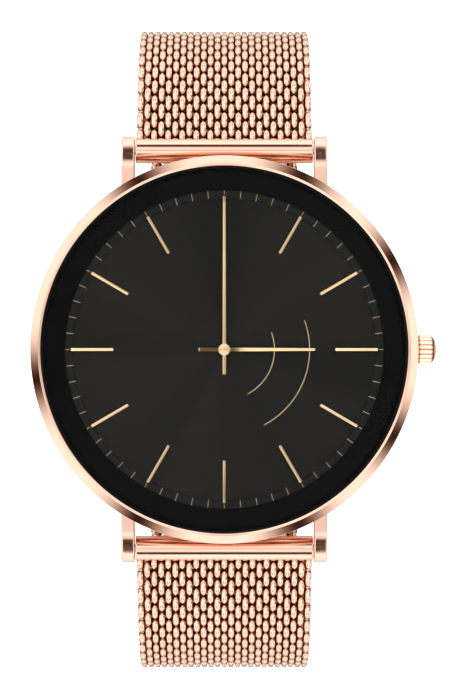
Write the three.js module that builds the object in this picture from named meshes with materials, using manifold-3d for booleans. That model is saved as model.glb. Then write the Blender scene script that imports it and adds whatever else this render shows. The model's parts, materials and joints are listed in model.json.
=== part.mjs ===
// An analogue wristwatch on a closed woven-mesh strap, in millimetres.
// The dial faces +Z, twelve o'clock is at +Y and the crown points along +X.
// The origin is the middle of the case back's flat outer face.

import * as THREE from 'three';
import { mergeVertices } from 'three/addons/utils/BufferGeometryUtils.js';
import Module from 'manifold-3d';

const wasm = await Module();
wasm.setup();

// ---------------------------------------------------------------- dimensions

const TAU = Math.PI * 2;
const FINE = 60;
const MEDIUM = 24;
const SMALL = 14;

const STRAP_WIDTH = 17.7;
const LUG_GAP_HALF = 9.0;
const LUG_OUTER = 10.3;
const LUG_TIP_Y = 21.35;
const BAR_Y = 20.0;
const BAR_Z = 2.2;
const TUBE_R = 1.25;
const TUBE_HALF = 8.9;
const BAR_R = 0.75;
const BAR_HALF = 8.7;
const TIP_R = 0.4;
const TIP_INNER = 7.75;
const TIP_OUTER = 9.85;
const LUG_HOLE_R = 0.45;
const LUG_HOLE_END = 9.95;

const CASE_R = 18.3;
const CASE_BOTTOM = 0.9;
const CASE_TOP = 4.1;
const CAVITY_R = 15.3;
const BEZEL_R = 19.25;
const BEZEL_TOP_R = 18.42;
const BEZEL_TOP = 6.6;
const BEZEL_EDGE = 5.95;
const OPENING_R = 18.2;
const CRYSTAL_R = 17.95;
const CRYSTAL_BOTTOM = 5.58;
const CRYSTAL_TOP = 6.72;

const DIAL_R = 16.2;
const DIAL_BOTTOM = 4.12;
const DIAL_TOP = 4.5;
const TRACK_INNER_R = 15.05;
const FLANGE_INNER_R = 15.85;
const BATON_INNER_R = 11.0;
const BATON_OUTER_R = 15.38;
const BATON_WIDTH = 0.35;
const HOURS = 12;

const CROWN_Z = 2.4;
const CROWN_R = 1.52;
const CROWN_TEETH = 18;
const STEM_R = 0.22;

const MODULE_TRAIN = 0.1;
const MODULE_HOUR = 0.096;
const PLATE_R = 10.9;
const PLATE_BOTTOM = 2.75;
const PLATE_TOP = 3.35;
const BRIDGE_BOTTOM = 1.42;
const BRIDGE_TOP = 1.6;

const THIRD_AT = polar(2.8, 200);
const FOURTH_AT = offset(THIRD_AT, 2.4, 170);
const ROTOR_AT = offset(FOURTH_AT, 1.6, 120);
const MINUTE_WHEEL_AT = polar(2.4, 60);
const BATTERY_AT = [4.8, -4.6];
const SCREW_A_AT = [-8.2, -3.4];
const SCREW_B_AT = [-8.2, 3.6];

// The strap's middle line on the twelve o'clock side: straight, then three arcs, then straight.
const BAND_THICK = 1.25;
const BAND_HEADING = 28;
const BAND_STRAIGHT = 4.45;
const SHOULDER_R = 18.0;
const SIDE_R = 75.0;
const SIDE_TURN = 18;
const CORNER_R = 14.0;
const HINGE_AT = [22.0, 43.0, 64.6];
const HINGE_GAP = 0.05;

const CLASP_Y = 3.5;
const TIP_Y = 1.0;
const SLIDER_BACK = 16.3;
const SLIDER_FRONT = 5.0;
const SLIDER_HALF = 9.8;
const LEVER_FRONT = 12.2;
const COVER_FRONT = 9.0;
const COVER_HALF = 11.0;

// ------------------------------------------------------------------ geometry

function polar(radius, degrees) {
  const angle = degrees * Math.PI / 180;
  return [radius * Math.cos(angle), radius * Math.sin(angle)];
}

function offset(from, distance, degrees) {
  const step = polar(distance, degrees);
  return [from[0] + step[0], from[1] + step[1]];
}

// Welds a geometry, drops its flat triangles and turns it right side out.
function welded(geometry) {
  const loose = geometry.index ? geometry.toNonIndexed() : geometry.clone();
  loose.deleteAttribute('normal');
  loose.deleteAttribute('uv');
  const merged = mergeVertices(loose, 1e-4);
  const at = merged.attributes.position;
  const kept = [];
  let volume = 0;
  const a = new THREE.Vector3();
  const b = new THREE.Vector3();
  const c = new THREE.Vector3();
  for (let i = 0; i < merged.index.count; i += 3) {
    const corner = [merged.index.getX(i), merged.index.getX(i + 1), merged.index.getX(i + 2)];
    if (new Set(corner).size < 3) continue;
    a.fromBufferAttribute(at, corner[0]);
    b.fromBufferAttribute(at, corner[1]);
    c.fromBufferAttribute(at, corner[2]);
    volume += a.dot(b.cross(c));
    kept.push(corner);
  }
  if (volume < 0) kept.forEach((corner) => corner.reverse());
  merged.setIndex(kept.flat());
  return merged;
}

function toSolid(geometry) {
  const shape = welded(geometry);
  const mesh = new wasm.Mesh({
    numProp: 3,
    vertProperties: new Float32Array(shape.attributes.position.array),
    triVerts: new Uint32Array(shape.index.array),
  });
  return new wasm.Manifold(mesh);
}

function fromSolid(solid) {
  const mesh = solid.getMesh();
  const geometry = new THREE.BufferGeometry();
  geometry.setAttribute('position', new THREE.BufferAttribute(new Float32Array(mesh.vertProperties), 3));
  geometry.setIndex(new THREE.BufferAttribute(new Uint32Array(mesh.triVerts), 1));
  return geometry;
}

function join(...geometries) {
  return fromSolid(geometries.map(toSolid).reduce((sum, next) => sum.add(next)));
}

function cut(body, ...tools) {
  return fromSolid(tools.map(toSolid).reduce((rest, tool) => rest.subtract(tool), toSolid(body)));
}

// Turns a closed outline of [radius, height] points about the Z axis.
function ring(outline, segments = FINE) {
  const points = outline.map(([r, z]) => new THREE.Vector2(r, z));
  points.push(points[0].clone());
  return new THREE.LatheGeometry(points, segments).rotateX(Math.PI / 2);
}

// Turns an open outline that starts and ends on the Z axis.
function turned(outline, segments = FINE) {
  const points = outline.map(([r, z]) => new THREE.Vector2(r, z));
  return new THREE.LatheGeometry(points, segments).rotateX(Math.PI / 2);
}

function disc(radius, low, high, segments = FINE) {
  return turned([[0, low], [radius, low], [radius, high], [0, high]], segments);
}

function post(radius, low, high, at = [0, 0], segments = SMALL) {
  return disc(radius, low, high, segments).translate(at[0], at[1], 0);
}

// A round bar along X.
function rod(radius, low, high, y, z, segments = SMALL) {
  return disc(radius, low, high, segments).rotateY(Math.PI / 2).translate(0, y, z);
}

function block(low, high) {
  const size = high.map((value, axis) => value - low[axis]);
  const middle = high.map((value, axis) => (value + low[axis]) / 2);
  return new THREE.BoxGeometry(...size).translate(...middle);
}

// Extrudes an outline of [x, y] points from one height to another.
function plate(outline, low, high) {
  const shape = new THREE.Shape(outline.map(([x, y]) => new THREE.Vector2(x, y)));
  return new THREE.ExtrudeGeometry(shape, { depth: high - low, bevelEnabled: false }).translate(0, 0, low);
}

// Extrudes a side view of [y, z] points across the X axis.
function sideways(outline, low, high) {
  const flat = outline.map(([y, z]) => [y, z]);
  return plate(flat, low, high).applyMatrix4(new THREE.Matrix4().set(
    0, 0, 1, 0,
    1, 0, 0, 0,
    0, 1, 0, 0,
    0, 0, 0, 1,
  ));
}

// A spur gear's outline with straight-sided teeth; one tooth points at the angle turn, in degrees.
function gearOutline(teeth, module, turn = 0) {
  const pitch = teeth * module / 2;
  const tip = pitch + module * 0.9;
  const root = pitch - module * 1.15;
  const points = [];
  for (let i = 0; i < teeth; i += 1) {
    const middle = turn * Math.PI / 180 + i * TAU / teeth;
    const step = TAU / teeth;
    [[-0.31, root], [-0.12, tip], [0.12, tip], [0.31, root]].forEach(([share, radius]) => {
      const angle = middle + share * step;
      points.push([radius * Math.cos(angle), radius * Math.sin(angle)]);
    });
  }
  return points;
}

function gear(teeth, module, low, high, turn = 0) {
  return plate(gearOutline(teeth, module, turn), low, high);
}

// ---------------------------------------------------------------- strap line

const BAND_PARTS = [
  { length: BAND_STRAIGHT, radius: 0 },
  { length: SHOULDER_R * (90 - BAND_HEADING) * Math.PI / 180, radius: SHOULDER_R },
  { length: SIDE_R * SIDE_TURN * Math.PI / 180, radius: SIDE_R },
  { length: CORNER_R * (90 - SIDE_TURN) * Math.PI / 180, radius: CORNER_R },
];

// The middle line at a distance from the spring bar: y, z and heading.
function bandPoint(distance) {
  let left = distance;
  let heading = BAND_HEADING * Math.PI / 180;
  let y = BAR_Y;
  let z = BAR_Z;
  for (const { length, radius } of BAND_PARTS) {
    const run = Math.min(left, length);
    if (radius === 0) {
      y += run * Math.cos(heading);
      z -= run * Math.sin(heading);
    } else {
      const next = heading + run / radius;
      y += radius * (Math.sin(next) - Math.sin(heading));
      z -= radius * (Math.cos(heading) - Math.cos(next));
      heading = next;
    }
    left -= run;
    if (left <= 0) return { y, z, heading };
  }
  return { y: y - left, z, heading };
}

const FLAT_START = BAND_PARTS.reduce((sum, part) => sum + part.length, 0);
const FLAT_Y = bandPoint(FLAT_START).y;
const FLAT_Z = bandPoint(FLAT_START).z;
const CLASP_AT = FLAT_START + FLAT_Y - CLASP_Y;
const TIP_AT = FLAT_START + FLAT_Y - TIP_Y;

// A slab of strap between two distances; side is 1 at twelve o'clock and -1 at six.
function bandSlab(from, to, side) {
  const steps = Math.max(2, Math.ceil((to - from) / 1.9));
  const outer = [];
  const inner = [];
  for (let i = 0; i <= steps; i += 1) {
    const { y, z, heading } = bandPoint(from + (to - from) * i / steps);
    const reach = BAND_THICK / 2;
    outer.push([side * (y + reach * Math.sin(heading)), z + reach * Math.cos(heading)]);
    inner.push([side * (y - reach * Math.sin(heading)), z - reach * Math.cos(heading)]);
  }
  const outline = outer.concat(inner.reverse());
  if (side < 0) outline.reverse();
  return sideways(outline, -STRAP_WIDTH / 2, STRAP_WIDTH / 2);
}

// ----------------------------------------------------------------- materials

function surface(colour, roughness, metalness) {
  return new THREE.MeshStandardMaterial({ color: colour, roughness, metalness });
}

const roseGold = () => surface('#d9a58c', 0.16, 1);
const satinGold = () => surface('#cf9c84', 0.34, 1);
const paleGold = () => surface('#ecd0b4', 0.2, 1);
const dialBlack = () => surface('#262524', 0.5, 0.1);
const glossBlack = () => surface('#0d0d0e', 0.12, 0);
const rubberBlack = () => surface('#161616', 0.8, 0);
const steel = () => surface('#b9bbbf', 0.28, 1);
const brass = () => surface('#c9a658', 0.3, 1);
const copper = () => surface('#b4653a', 0.35, 1);
const holderPlastic = () => surface('#d9d8d2', 0.6, 0);
const boardGreen = () => surface('#2f5b3c', 0.6, 0);

function clearGlass() {
  const glass = surface('#f4f8fa', 0.03, 0);
  glass.transparent = true;
  glass.opacity = 0.25;
  return glass;
}

const group = new THREE.Group();
group.name = 'wristwatch';

function add(name, geometry, material) {
  const mesh = new THREE.Mesh(welded(geometry), material);
  mesh.geometry.computeVertexNormals();
  mesh.name = name;
  group.add(mesh);
}

// ---------------------------------------------------------------------- case

// One lug's side view: flat at the case, falling to a square tip round the spring bar.
function lug(side, hand) {
  const outline = [
    [14.8, 4.05], [18.3, 4.03], [18.9, 3.97], [19.4, 3.82], [20.0, 3.58], [20.7, 3.15],
    [LUG_TIP_Y - 0.08, 2.72], [LUG_TIP_Y, 2.6], [LUG_TIP_Y, 1.25], [LUG_TIP_Y - 0.12, 1.1],
    [20.2, 1.02], [18.5, 1.1], [14.8, 1.35],
  ].map(([y, z]) => [side * y, z]);
  if (side > 0) outline.reverse();
  const low = hand > 0 ? LUG_GAP_HALF : -LUG_OUTER;
  const high = hand > 0 ? LUG_OUTER : -LUG_GAP_HALF;
  return sideways(outline, low, high);
}

function addCase() {
  const body = ring([
    [16.3, CASE_BOTTOM], [17.4, CASE_BOTTOM], [CASE_R, 1.7], [CASE_R, CASE_TOP],
    [17.2, CASE_TOP], [17.2, 4.7], [16.25, 4.7], [16.25, CASE_TOP], [CAVITY_R, CASE_TOP],
    [CAVITY_R, CASE_BOTTOM], [15.7, CASE_BOTTOM], [15.7, 1.3], [16.3, 1.3],
  ]);
  const lugs = [lug(1, 1), lug(1, -1), lug(-1, 1), lug(-1, -1)];
  const holes = [1, -1].map((side) => rod(LUG_HOLE_R, -LUG_HOLE_END, LUG_HOLE_END, side * BAR_Y, BAR_Z));
  const stemHole = rod(0.95, 14, 19.5, 0, CROWN_Z);
  add('case_middle', cut(join(body, ...lugs), ...holes, stemHole), roseGold());
  add('bezel', ring([
    [17.25, 4.15], [18.75, 4.15], [BEZEL_R, 4.6], [BEZEL_R, BEZEL_EDGE], [BEZEL_TOP_R, BEZEL_TOP],
    [OPENING_R, 6.45], [OPENING_R, 4.72], [17.25, 4.72],
  ]), roseGold());
  add('crystal', turned([
    [0, CRYSTAL_BOTTOM], [CRYSTAL_R, CRYSTAL_BOTTOM], [CRYSTAL_R, 6.55],
    [CRYSTAL_R - 0.15, CRYSTAL_TOP], [0, CRYSTAL_TOP],
  ]), clearGlass());
  add('crystal_gasket', ring([[17.98, 5.49], [18.17, 5.49], [18.17, 6.42], [17.98, 6.42]]), rubberBlack());
  add('case_back', turned([
    [0, 0], [16.6, 0], [17.0, 0.35], [17.0, 0.85], [15.2, 0.85], [15.2, 1.1], [0, 1.1],
  ]), roseGold());
  add('case_back_gasket', ring([[15.74, 0.88], [16.26, 0.88], [16.26, 1.27], [15.74, 1.27]]), rubberBlack());
}

// ---------------------------------------------------------------------- dial

function addDial() {
  add('flange_ring', ring([
    [FLANGE_INNER_R, 4.75], [18.15, 4.75], [18.15, 5.45], [17.6, 5.45], [FLANGE_INNER_R, 4.9],
  ]), glossBlack());
  add('chapter_ring', ring([
    [TRACK_INNER_R, 4.52], [DIAL_R, 4.52], [DIAL_R, 4.62], [TRACK_INNER_R, 4.62],
  ]), dialBlack());
  add('dial', ring([[0.6, DIAL_BOTTOM], [DIAL_R, DIAL_BOTTOM], [DIAL_R, DIAL_TOP], [0.6, DIAL_TOP]]), dialBlack());
  const batons = [ring([[15.9, 4.64], [DIAL_R, 4.64], [DIAL_R, 4.73], [15.9, 4.73]])];
  for (let hour = 0; hour < HOURS; hour += 1) {
    const half = BATON_WIDTH / 2;
    const parts = [
      block([BATON_INNER_R, -half, 4.51], [TRACK_INNER_R - 0.03, half, 4.78]),
      block([TRACK_INNER_R - 0.04, -half, 4.64], [BATON_OUTER_R, half, 4.78]),
      block([BATON_OUTER_R - 0.01, -0.07, 4.64], [16.0, 0.07, 4.7]),
    ];
    parts.forEach((part) => batons.push(part.rotateZ(hour * TAU / HOURS)));
  }
  add('index_ring', join(...batons), paleGold());
}

// A tapering hand that lies along +X, with a round hub bored for its arbor.
function hand(length, tail, hubWidth, tipWidth, low, high, bore, hubLow, hubHigh) {
  const blade = plate([
    [-tail, -hubWidth / 2], [0, -hubWidth / 2], [length - 0.1, -tipWidth / 2],
    [length, 0], [length - 0.1, tipWidth / 2], [0, hubWidth / 2], [-tail, hubWidth / 2],
  ], low, high);
  const hub = turned([[0, hubLow], [0.56, hubLow], [0.56, hubHigh - 0.05], [0.46, hubHigh], [0, hubHigh]], SMALL);
  return bore > 0 ? cut(join(blade, hub), post(bore, hubLow - 0.2, hubHigh - 0.08)) : join(blade, hub);
}

function addHands() {
  const hourHand = cut(
    hand(9.05, 2.55, 0.45, 0.32, 4.93, 5.05, 0, 4.84, 5.08),
    post(0.42, 4.5, 5.5),
  );
  add('hour_hand', hourHand, paleGold());
  add('minute_hand', hand(14.75, 2.5, 0.41, 0.34, 5.22, 5.34, 0.27, 5.15, 5.46).rotateZ(Math.PI / 2), paleGold());
}

// ------------------------------------------------------------------ movement

function addTrain() {
  add('centre_arbor', join(
    post(0.25, 1.75, 5.35),
    gear(48, MODULE_TRAIN, 2.45, 2.6, 200),
    gear(12, MODULE_TRAIN, 3.45, 3.62, 60),
  ), steel());
  add('hour_wheel', cut(
    join(post(0.4, 3.66, 5.06), gear(40, MODULE_HOUR, 3.72, 3.88, 64.5)),
    post(0.28, 3.4, 5.4),
  ), brass());
  add('minute_wheel', cut(
    join(gear(36, MODULE_TRAIN, 3.45, 3.6, 245), gear(10, MODULE_HOUR, 3.59, 3.95, 240)),
    post(0.21, 3.3, 4.1),
  ).translate(...MINUTE_WHEEL_AT, 0), brass());
  add('third_wheel', join(
    post(0.12, 1.45, 3.1),
    gear(40, MODULE_TRAIN, 2.1, 2.25, 170),
    gear(8, MODULE_TRAIN, 2.24, 2.65, 42.5),
  ).translate(...THIRD_AT, 0), brass());
  add('fourth_wheel', join(
    post(0.12, 1.45, 3.1),
    gear(24, MODULE_TRAIN, 1.75, 1.9, 120),
    gear(8, MODULE_TRAIN, 1.89, 2.3, 12.5),
  ).translate(...FOURTH_AT, 0), brass());
  add('rotor', join(
    post(0.1, 1.45, 3.1),
    gear(8, MODULE_TRAIN, 1.7, 1.95, 322.5),
    disc(0.6, 2.1, 2.6, SMALL),
    post(0.2, 1.9, 2.15),
  ).translate(...ROTOR_AT, 0), steel());
}

function addPlates() {
  const pivots = [[THIRD_AT, 0.16], [FOURTH_AT, 0.16], [ROTOR_AT, 0.14]];
  const screws = [[SCREW_A_AT, 0.29], [SCREW_B_AT, 0.29]];
  const plateHoles = [[[0, 0], 0.3], ...pivots, ...screws].map(([at, r]) => post(r, 2.5, 3.5, at));
  const stud = post(0.18, 3.3, 3.92, MINUTE_WHEEL_AT);
  const mainplate = join(cut(disc(PLATE_R, PLATE_BOTTOM, PLATE_TOP), ...plateHoles), stud);
  add('mainplate', mainplate, steel());
  const bridgeHoles = [...pivots, ...screws].map(([at, r]) => post(r, 1.3, 1.7, at));
  const bridge = plate([
    [-9.2, -4.6], [-6.5, -4.6], [-1.2, -2.2], [0.9, -1.0], [0.9, 1.0], [-3.5, 2.4], [-6.5, 4.8], [-9.2, 4.8],
  ], BRIDGE_BOTTOM, BRIDGE_TOP);
  add('train_bridge', cut(bridge, ...bridgeHoles), steel());
  [['movement_screw_a', SCREW_A_AT], ['movement_screw_b', SCREW_B_AT]].forEach(([name, at]) => {
    const screw = join(post(0.55, 1.2, 1.4, at), post(0.25, 1.39, 3.3, at));
    const slot = block([at[0] - 0.8, at[1] - 0.08, 1.1], [at[0] + 0.8, at[1] + 0.08, 1.29]);
    add(name, cut(screw, slot), steel());
  });
  const holder = ring([[11.0, 1.45], [15.2, 1.45], [15.2, 4.06], [11.0, 4.06]]);
  add('movement_holder', cut(holder, block([10, -0.7, 1.2], [16, 0.7, 3.1])), holderPlastic());
}

function addElectrics() {
  add('battery', turned([
    [0, 1.55], [3.5, 1.55], [3.5, 1.62], [3.95, 1.62], [3.95, 2.68], [0, 2.68],
  ], MEDIUM).translate(...BATTERY_AT, 0), steel());
  add('battery_clamp', plate([
    [0.6, -9.0], [2.0, -9.4], [9.4, -4.0], [9.0, -2.4],
  ], 1.38, 1.5), steel());
  const spool = join(
    rod(0.62, -5.8, 1.2, 6.6, 2.05),
    block([-6.6, 5.95, 1.6], [-5.7, 7.25, 2.5]),
    block([1.1, 5.95, 1.6], [2.0, 7.25, 2.5]),
  );
  add('coil', spool, copper());
  const yoke = join(
    post(1.35, 2.35, 2.55, ROTOR_AT, MEDIUM),
    block([ROTOR_AT[0] - 1.2, ROTOR_AT[1], 2.35], [ROTOR_AT[0] + 1.2, 5.9, 2.55]),
  );
  add('stator', cut(yoke, post(0.8, 2.2, 2.7, ROTOR_AT)), steel());
  add('circuit_board', plate([
    [3.0, 2.9], [7.9, 2.9], [8.6, 4.4], [7.4, 6.6], [4.6, 8.2], [3.0, 8.4],
  ], 1.5, 1.68), boardGreen());
  add('quartz_can', rod(0.42, 3.6, 6.9, 5.2, 2.2), steel());
}

// --------------------------------------------------------------------- crown

// The crown's knurled rim, drawn round the stem's line.
function knurl(low, high) {
  const points = [];
  for (let i = 0; i < CROWN_TEETH; i += 1) {
    [[-0.36, 1.36], [-0.22, CROWN_R], [0.22, CROWN_R], [0.36, 1.36]].forEach(([share, radius]) => {
      const angle = (i + share) * TAU / CROWN_TEETH;
      points.push([radius * Math.cos(angle), radius * Math.sin(angle)]);
    });
  }
  return plate(points, low, high);
}

function alongX(geometry) {
  return geometry.rotateY(Math.PI / 2).translate(0, 0, CROWN_Z);
}

function addCrown() {
  add('crown_tube', alongX(ring([
    [0.42, 15.5], [0.92, 15.5], [0.92, 18.35], [0.8, 18.4], [0.8, 19.4], [0.42, 19.4],
  ], MEDIUM)), steel());
  const head = join(
    knurl(19.3, 20.8),
    disc(1.35, 18.55, 19.35, MEDIUM),
    turned([[0, 20.7], [1.36, 20.7], [1.5, 20.8], [1.38, 21.0], [1.08, 21.16], [0.65, 21.25], [0, 21.25]], MEDIUM),
  );
  const socket = disc(1.08, 18.4, 19.6, MEDIUM);
  const stemHole = disc(0.24, 19.4, 20.2, SMALL);
  add('crown', alongX(cut(head, socket, stemHole)), roseGold());
  add('crown_gasket', alongX(ring([[0.83, 18.62], [1.05, 18.62], [1.05, 18.95], [0.83, 18.95]], SMALL)), rubberBlack());
  add('stem', alongX(join(
    disc(STEM_R, 7.2, 20.1, SMALL),
    disc(0.33, 7.55, 7.95, SMALL),
    disc(0.33, 8.55, 8.95, SMALL),
  )), steel());
  const lever = block([8.0, -0.8, 1.75], [8.5, 0.8, 2.7]);
  add('setting_lever', cut(lever, rod(0.26, 7.5, 9, 0, CROWN_Z)), steel());
}

// --------------------------------------------------------------- spring bars

function addSpringBar(hour, side) {
  const y = side * BAR_Y;
  const bores = [1, -1].map((handed) => rod(0.44, handed > 0 ? 6.6 : -9, handed > 0 ? 9 : -6.6, y, BAR_Z));
  add(`spring_bar_${hour}`, cut(rod(BAR_R, -BAR_HALF, BAR_HALF, y, BAR_Z), ...bores), steel());
  [['right', 1], ['left', -1]].forEach(([name, handed]) => {
    const tip = turned([[0, TIP_INNER], [TIP_R, TIP_INNER], [TIP_R, TIP_OUTER - 0.15], [TIP_R - 0.12, TIP_OUTER], [0, TIP_OUTER]], SMALL);
    const turn = handed > 0 ? Math.PI / 2 : -Math.PI / 2;
    add(`spring_bar_${hour}_tip_${name}`, tip.rotateY(turn).translate(0, y, BAR_Z), steel());
  });
}

// --------------------------------------------------------------------- strap

function addStrapHalf(hour, side, end) {
  const y = side * BAR_Y;
  const tube = ring([[0.8, -TUBE_HALF], [TUBE_R, -TUBE_HALF], [TUBE_R, TUBE_HALF], [0.8, TUBE_HALF]], MEDIUM);
  add(`strap_${hour}_tube`, tube.rotateY(Math.PI / 2).translate(0, y, BAR_Z), roseGold());
  const stops = [TUBE_R + 0.02, ...HINGE_AT, end];
  ['a', 'b', 'c', 'd'].forEach((letter, i) => {
    const from = stops[i] + (i > 0 ? HINGE_GAP / 2 : 0);
    const to = stops[i + 1] - (i < 3 ? HINGE_GAP / 2 : 0);
    add(`strap_${hour}_mesh_${letter}`, bandSlab(from, to, side), satinGold());
  });
}

function addClasp() {
  const tube = rod(TUBE_R, -STRAP_WIDTH / 2, STRAP_WIDTH / 2, CLASP_Y, FLAT_Z, MEDIUM);
  add('clasp_tube', cut(tube, rod(0.55, -10, 10, CLASP_Y, FLAT_Z)), roseGold());
  add('clasp_pin', rod(0.5, -COVER_HALF + 0.1, COVER_HALF - 0.1, CLASP_Y, FLAT_Z), roseGold());
  const under = FLAT_Z - 1.6;
  const cheek = [
    [-COVER_FRONT, under - 0.7], [0.6, under - 0.7], [CLASP_Y + 0.7, FLAT_Z - 1.1], [CLASP_Y + 1.3, FLAT_Z],
    [CLASP_Y + 0.7, FLAT_Z + 1.1], [CLASP_Y - 0.7, FLAT_Z + 1.1], [CLASP_Y - 3, FLAT_Z + 0.4],
    [-COVER_FRONT + 1.5, FLAT_Z + 0.1], [-COVER_FRONT, FLAT_Z - 0.5],
  ];
  const cover = join(
    block([-COVER_HALF, -COVER_FRONT, under - 0.7], [COVER_HALF, 0.5, under]),
    sideways(cheek, 10.0, COVER_HALF),
    sideways(cheek, -COVER_HALF, -10.0),
  );
  add('clasp_cover', cut(cover, rod(0.54, -12, 12, CLASP_Y, FLAT_Z)), roseGold());
}

function addSlider() {
  const under = FLAT_Z - 1.4;
  const leverY = -SLIDER_BACK + 0.7;
  const leverZ = under - 0.4;
  const frame = cut(
    block([-SLIDER_HALF, -SLIDER_BACK, under], [SLIDER_HALF, -SLIDER_FRONT, FLAT_Z + 1.4]),
    block([-9.05, -SLIDER_BACK - 1, FLAT_Z - 0.8], [9.05, -SLIDER_FRONT + 1, FLAT_Z + 0.8]),
  );
  const ears = [
    block([8.8, -SLIDER_BACK, under - 0.85], [SLIDER_HALF, -SLIDER_BACK + 1.3, under + 0.1]),
    block([-SLIDER_HALF, -SLIDER_BACK, under - 0.85], [-8.8, -SLIDER_BACK + 1.3, under + 0.1]),
  ];
  add('slider_frame', cut(join(frame, ...ears), rod(0.3, -12, 12, leverY, leverZ)), roseGold());
  add('lever_pin', rod(0.28, -SLIDER_HALF + 0.1, SLIDER_HALF - 0.1, leverY, leverZ), roseGold());
  const flap = [
    [leverY - 0.3, leverZ - 0.2], [leverY, leverZ - 0.36], [-LEVER_FRONT, leverZ - 0.36],
    [-LEVER_FRONT, leverZ + 0.2], [-LEVER_FRONT - 0.6, leverZ + 0.32], [leverY, leverZ + 0.34],
    [leverY - 0.3, leverZ + 0.2],
  ];
  add('lock_lever', cut(sideways(flap, -8.6, 8.6), rod(0.3, -12, 12, leverY, leverZ, 12)), roseGold());
}

addCase();
addDial();
addHands();
addTrain();
addPlates();
addElectrics();
addCrown();
addSpringBar('12', 1);
addSpringBar('6', -1);
addStrapHalf('12', 1, CLASP_AT - TUBE_R - 0.02);
addStrapHalf('6', -1, TIP_AT - 1.0);
add('strap_tip', block([-8.85, -2.0 + 0.02, FLAT_Z - 0.66], [8.85, -TIP_Y, FLAT_Z + 0.66]), roseGold());
addClasp();
addSlider();

export default group;
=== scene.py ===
"""A slim wristwatch on a closed woven-mesh strap: metal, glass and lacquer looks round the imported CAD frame.

Metres, +Z up. The dial faces +Z, twelve o'clock is at +Y and the crown points along +X.
"""

import json
import math

import bmesh
import bpy
import numpy as np
from mathutils import Matrix, Vector


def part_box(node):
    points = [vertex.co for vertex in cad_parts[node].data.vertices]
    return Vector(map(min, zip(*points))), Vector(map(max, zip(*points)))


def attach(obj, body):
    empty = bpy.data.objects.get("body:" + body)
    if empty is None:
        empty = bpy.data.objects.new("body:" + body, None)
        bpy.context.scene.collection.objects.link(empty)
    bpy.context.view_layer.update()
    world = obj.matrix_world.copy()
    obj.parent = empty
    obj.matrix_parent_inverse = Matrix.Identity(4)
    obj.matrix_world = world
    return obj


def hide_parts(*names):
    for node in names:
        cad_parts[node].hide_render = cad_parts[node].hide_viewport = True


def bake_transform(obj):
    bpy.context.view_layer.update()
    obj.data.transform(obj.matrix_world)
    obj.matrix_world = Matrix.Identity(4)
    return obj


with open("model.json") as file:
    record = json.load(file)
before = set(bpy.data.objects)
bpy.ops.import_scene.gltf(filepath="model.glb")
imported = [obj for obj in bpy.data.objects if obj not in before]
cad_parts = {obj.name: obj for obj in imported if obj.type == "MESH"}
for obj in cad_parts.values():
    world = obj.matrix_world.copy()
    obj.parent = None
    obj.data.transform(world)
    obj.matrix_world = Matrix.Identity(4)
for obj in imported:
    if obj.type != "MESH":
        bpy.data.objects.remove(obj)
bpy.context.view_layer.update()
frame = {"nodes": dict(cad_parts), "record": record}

MM = 0.001
TAU = 2 * math.pi

# ------------------------------------------------------------ places from the CAD


def low(node):
    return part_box(node)[0] / MM


def high(node):
    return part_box(node)[1] / MM


def middle(node):
    return (low(node) + high(node)) / 2


BAR = middle("spring_bar_12")
TUBE_R = (high("strap_12_tube").z - low("strap_12_tube").z) / 2
STRAP_HALF = high("strap_12_mesh_a").x
BEZEL_R = high("bezel").x
BEZEL_TOP = high("bezel").z
DIAL_TOP = high("dial").z
TRACK_TOP = high("chapter_ring").z
CROWN_AXIS_Z = middle("crown").z
CLASP = middle("clasp_tube")

# -------------------------------------------------------------------- mesh tools


def make_object(name, vertices, faces, sharp=32):
    """A new mesh object from points in millimetres, shaded smooth with crisp edges."""
    data = bpy.data.meshes.new(name)
    data.from_pydata((np.asarray(vertices, float) * MM).tolist(), [], faces)
    shape = bmesh.new()
    shape.from_mesh(data)
    bmesh.ops.remove_doubles(shape, verts=shape.verts, dist=2e-8)
    bmesh.ops.recalc_face_normals(shape, faces=shape.faces)
    shape.to_mesh(data)
    shape.free()
    data.shade_smooth()
    data.set_sharp_from_angle(angle=math.radians(sharp))
    obj = bpy.data.objects.new(name, data)
    bpy.context.scene.collection.objects.link(obj)
    return obj


def settle(obj, body, slot, look, *nodes):
    """Gives a piece its material, lets it ride on a body and stand for CAD nodes. The slot is not used."""
    obj.data.materials.clear()
    obj.data.materials.append(look)
    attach(obj, body)
    if nodes:
        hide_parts(*nodes)
    return obj


def filleted(outline, radius, closed=True, steps=3):
    """The outline with its corners rounded, and with a point held just outside each round."""
    count = len(outline)
    points = []
    for i, (x, y) in enumerate(outline):
        if not closed and i in (0, count - 1):
            points.append((x, y))
            continue
        before = outline[i - 1]
        after = outline[(i + 1) % count]
        arms = []
        for px, py in (before, after):
            length = math.hypot(px - x, py - y)
            reach = min(radius, 0.36 * length)
            arms.append(((px - x) / length, (py - y) / length, reach))
        (ax, ay, ar), (bx, by, br) = arms
        points.append((x + ax * ar * 1.25, y + ay * ar * 1.25))
        for k in range(steps + 1):
            t = k / steps
            here, there = (1 - t) ** 2 * ar, t ** 2 * br
            points.append((x + ax * here + bx * there, y + ay * here + by * there))
        points.append((x + bx * br * 1.25, y + by * br * 1.25))
    return points


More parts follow.
